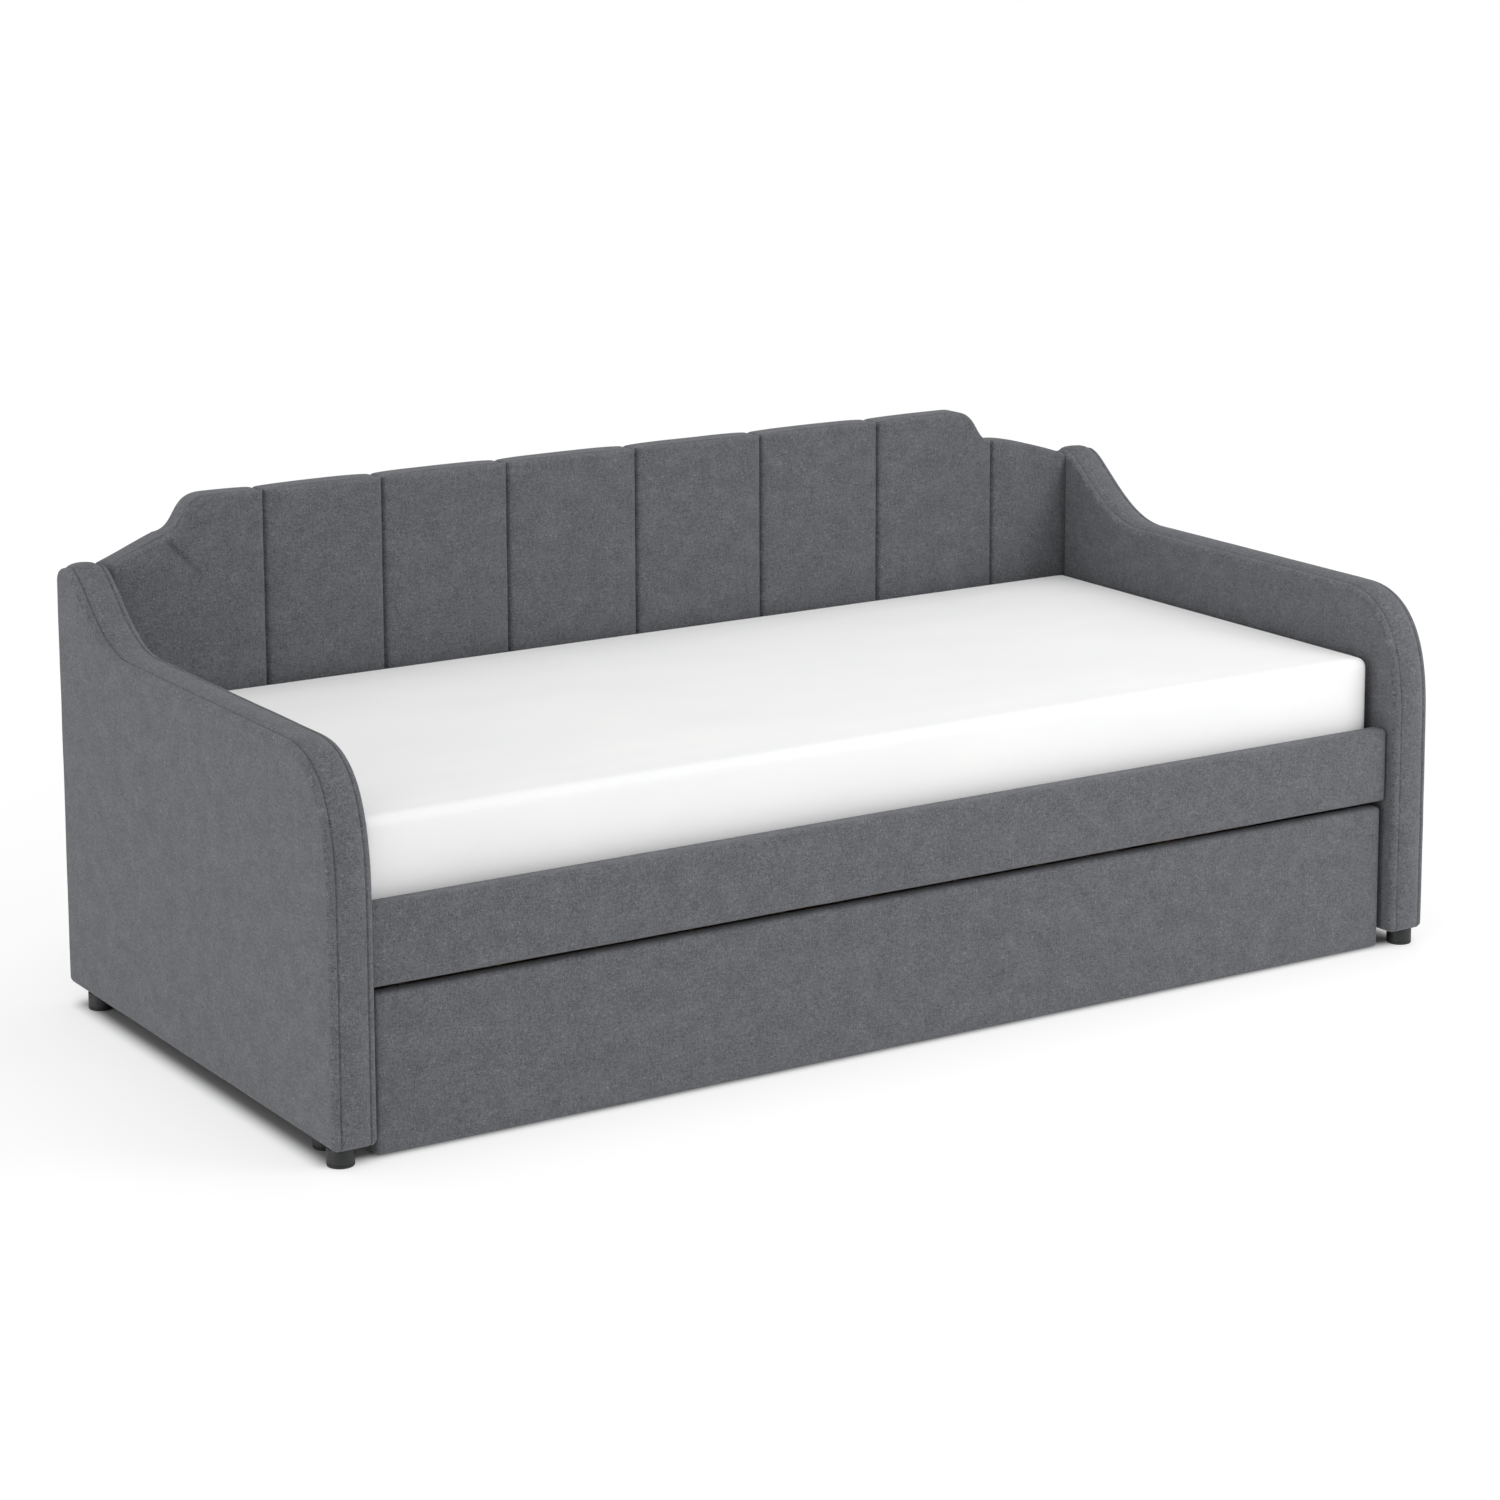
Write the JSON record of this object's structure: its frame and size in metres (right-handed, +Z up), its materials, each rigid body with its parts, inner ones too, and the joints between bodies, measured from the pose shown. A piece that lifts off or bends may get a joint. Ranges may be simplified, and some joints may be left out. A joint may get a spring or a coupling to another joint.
{
  "type": "trundle bed",
  "caption": "Upholstered daybed with channelled back, curved arms, slatted base and mattress, and a slatted trundle that rolls out at the front on fixed casters.",
  "frame": {"origin": "on the floor under the middle of the bed's bounding box", "axes": "+X to the right along the bed's length, -Y to the front where the trundle comes out, +Z up"},
  "size_m": [2.18, 1.03, 0.866],
  "materials": {
    "upholstery": "heathered woven polyester, matte",
    "mattress_cover": "smooth white knit",
    "pine": "planed, unvarnished",
    "birch": "glued veneer, sanded",
    "black_plastic": "moulded, fine texture",
    "wheel_nylon": "moulded, smooth tread",
    "zinc_steel": "zinc plated"
  },
  "bodies": {
    "bed": {"left_arm": "upholstery", "right_arm": "upholstery", "back_panel": "upholstery", "front_rail": "upholstery", "front_ledge": "pine", "rear_ledge": "pine", "rail_bracket_left": "zinc_steel", "rail_bracket_right": "zinc_steel", "back_bracket_left": "zinc_steel", "back_bracket_right": "zinc_steel", "bed_slat_01": "birch", "bed_slat_02": "birch", "bed_slat_03": "birch", "bed_slat_04": "birch", "bed_slat_05": "birch", "bed_slat_06": "birch", "bed_slat_07": "birch", "bed_slat_08": "birch", "bed_slat_09": "birch", "bed_slat_10": "birch", "bed_slat_11": "birch", "bed_slat_12": "birch", "foot_left_front": "black_plastic", "foot_left_second": "black_plastic", "foot_left_rear": "black_plastic", "foot_right_front": "black_plastic", "foot_right_second": "black_plastic", "foot_right_rear": "black_plastic"},
    "mattress": {"mattress": "mattress_cover"},
    "trundle": {"trundle_front": "upholstery", "trundle_side_left": "pine", "trundle_side_right": "pine", "trundle_back_board": "pine", "trundle_ledge_front": "pine", "trundle_beam_middle": "pine", "trundle_ledge_rear": "pine", "trundle_slat_01": "birch", "trundle_slat_02": "birch", "trundle_slat_03": "birch", "trundle_slat_04": "birch", "trundle_slat_05": "birch", "trundle_slat_06": "birch", "trundle_slat_07": "birch", "trundle_slat_08": "birch", "trundle_slat_09": "birch", "trundle_slat_10": "birch", "caster_housing_left_front": "black_plastic", "caster_housing_left_rear": "black_plastic", "caster_housing_right_front": "black_plastic", "caster_housing_right_rear": "black_plastic", "caster_axle_left_front": "zinc_steel", "caster_axle_left_rear": "zinc_steel", "caster_axle_right_front": "zinc_steel", "caster_axle_right_rear": "zinc_steel"},
    "wheel_left_front": {"caster_wheel_left_front": "wheel_nylon"},
    "wheel_left_rear": {"caster_wheel_left_rear": "wheel_nylon"},
    "wheel_right_front": {"caster_wheel_right_front": "wheel_nylon"},
    "wheel_right_rear": {"caster_wheel_right_rear": "wheel_nylon"}
  },
  "joints": [
    {"name": "trundle_slide", "type": "slide", "parent": "bed", "child": "trundle", "axis": [0, -1, 0], "range_m": [0, 0.94]},
    {"name": "mattress_lift", "type": "slide", "parent": "bed", "child": "mattress", "axis": [0, 0, 1], "range_m": [0, 0.45]},
    {"name": "wheel_spin_left_front", "type": "hinge", "parent": "trundle", "child": "wheel_left_front", "pos_m": [-0.9567, -0.36, 0.02], "axis": [1, 0, 0], "range_deg": [0, 2700]},
    {"name": "wheel_spin_left_rear", "type": "hinge", "parent": "trundle", "child": "wheel_left_rear", "pos_m": [-0.9567, 0.345, 0.02], "axis": [1, 0, 0], "range_deg": [0, 2700]},
    {"name": "wheel_spin_right_front", "type": "hinge", "parent": "trundle", "child": "wheel_right_front", "pos_m": [0.9567, -0.36, 0.02], "axis": [1, 0, 0], "range_deg": [0, 2700]},
    {"name": "wheel_spin_right_rear", "type": "hinge", "parent": "trundle", "child": "wheel_right_rear", "pos_m": [0.9567, 0.345, 0.02], "axis": [1, 0, 0], "range_deg": [0, 2700]}
  ],
  "couplings": [
    {"joint": "wheel_spin_left_front", "follows": "trundle_slide", "rad_per_m": 50},
    {"joint": "wheel_spin_left_rear", "follows": "trundle_slide", "rad_per_m": 50},
    {"joint": "wheel_spin_right_front", "follows": "trundle_slide", "rad_per_m": 50},
    {"joint": "wheel_spin_right_rear", "follows": "trundle_slide", "rad_per_m": 50}
  ]
}
